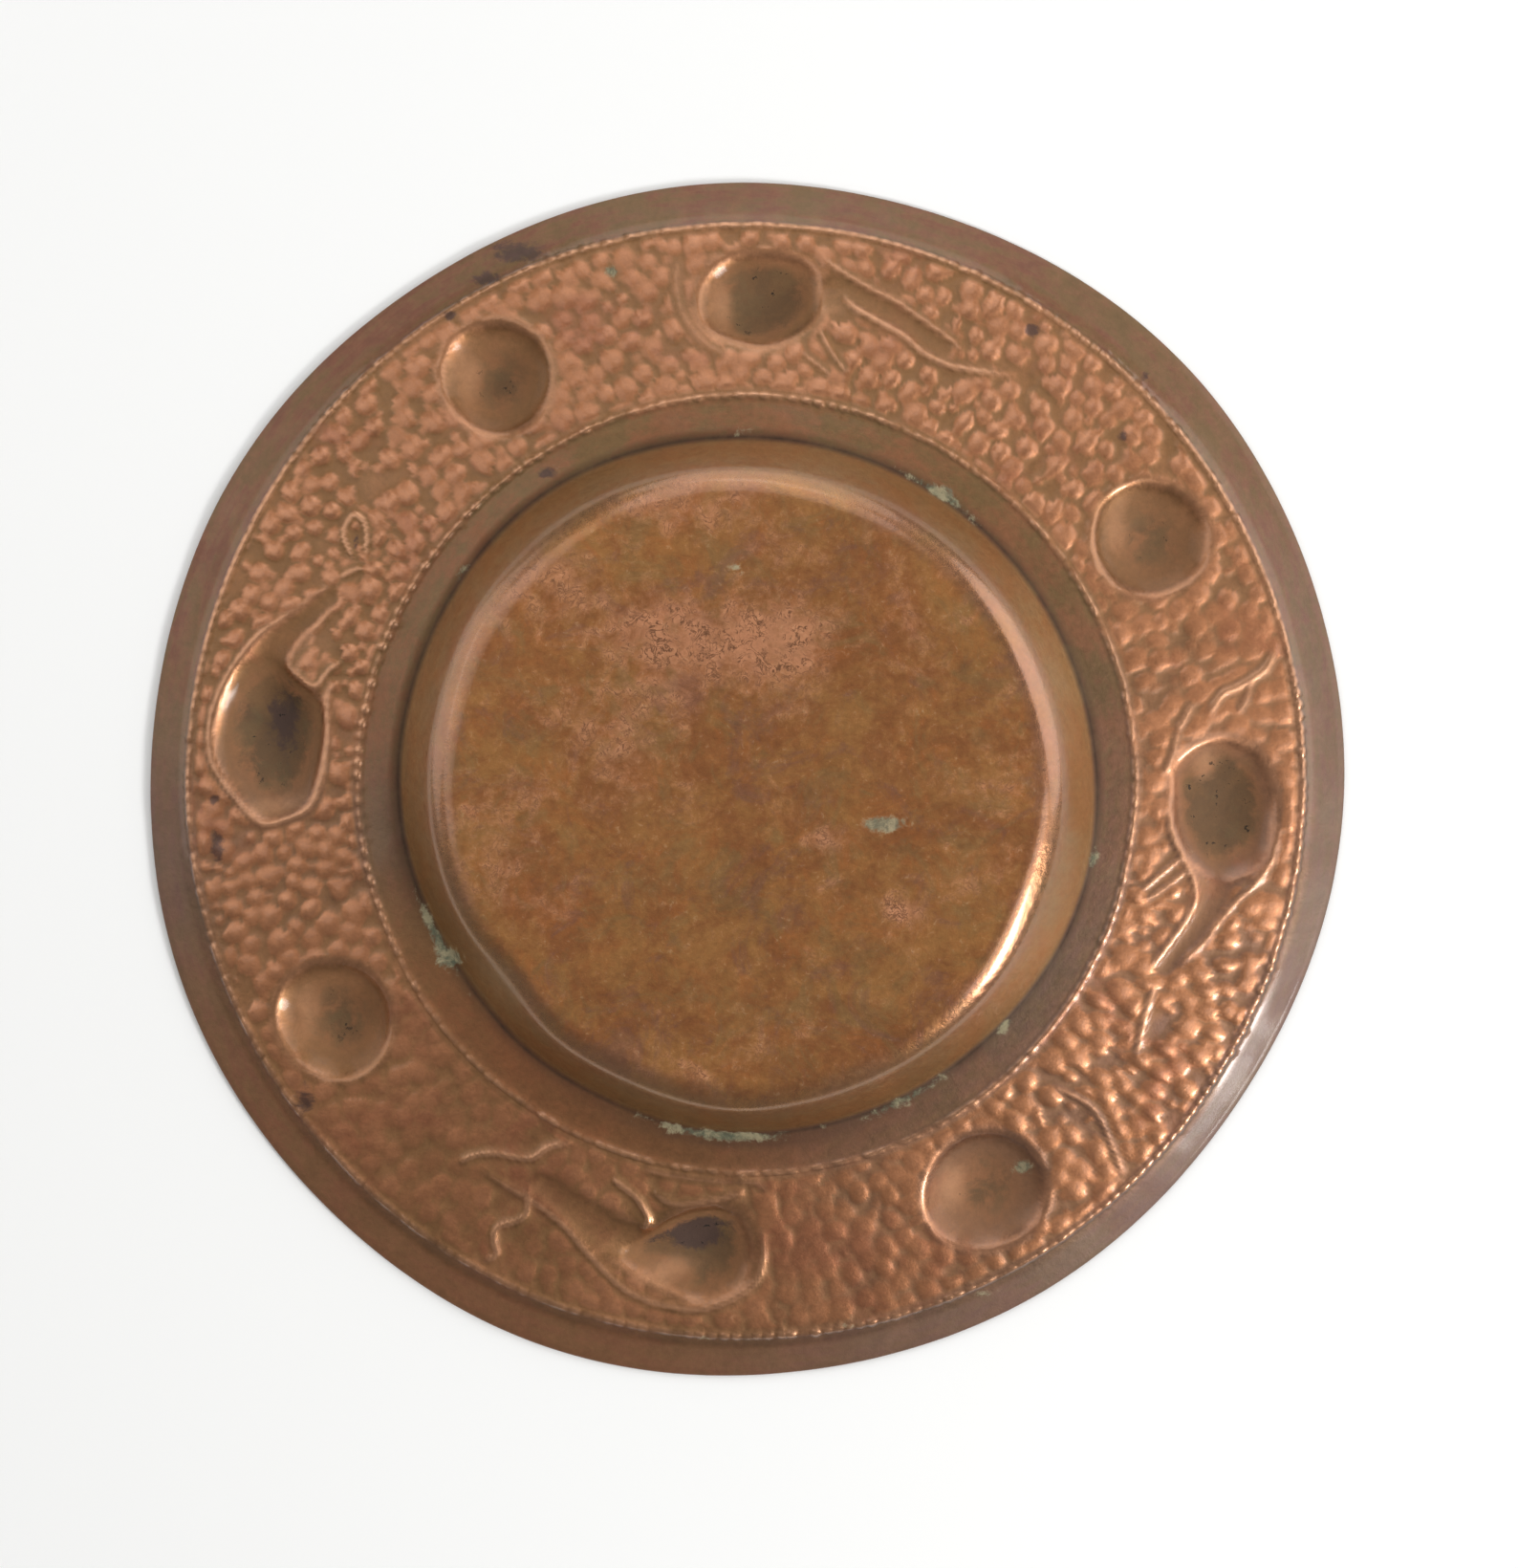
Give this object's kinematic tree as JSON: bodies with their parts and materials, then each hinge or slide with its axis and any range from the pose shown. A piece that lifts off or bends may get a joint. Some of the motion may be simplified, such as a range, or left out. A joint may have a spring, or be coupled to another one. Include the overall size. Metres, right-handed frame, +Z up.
{
  "type": "tray",
  "caption": "Round hammered copper tray with a sunk well, a fish and boss repousse border between beaded rings, and a plain hand-cut rim, lying face down.",
  "frame": {"origin": "on the table, under the centre of the well: the tray lies face down, and Z = 0 is the plane that its rim rests on", "axes": "+Z up, out of the underside of the well; +X and +Y across the tray, with the first boss at about 31 degrees from +X towards +Y. For use right side up, turn the tray half a turn about X"},
  "size_m": [0.1999, 0.2001, 0.017],
  "materials": {
    "copper": "satin"
  },
  "bodies": {
    "root": {"tray_sheet": "copper"}
  },
  "joints": []
}
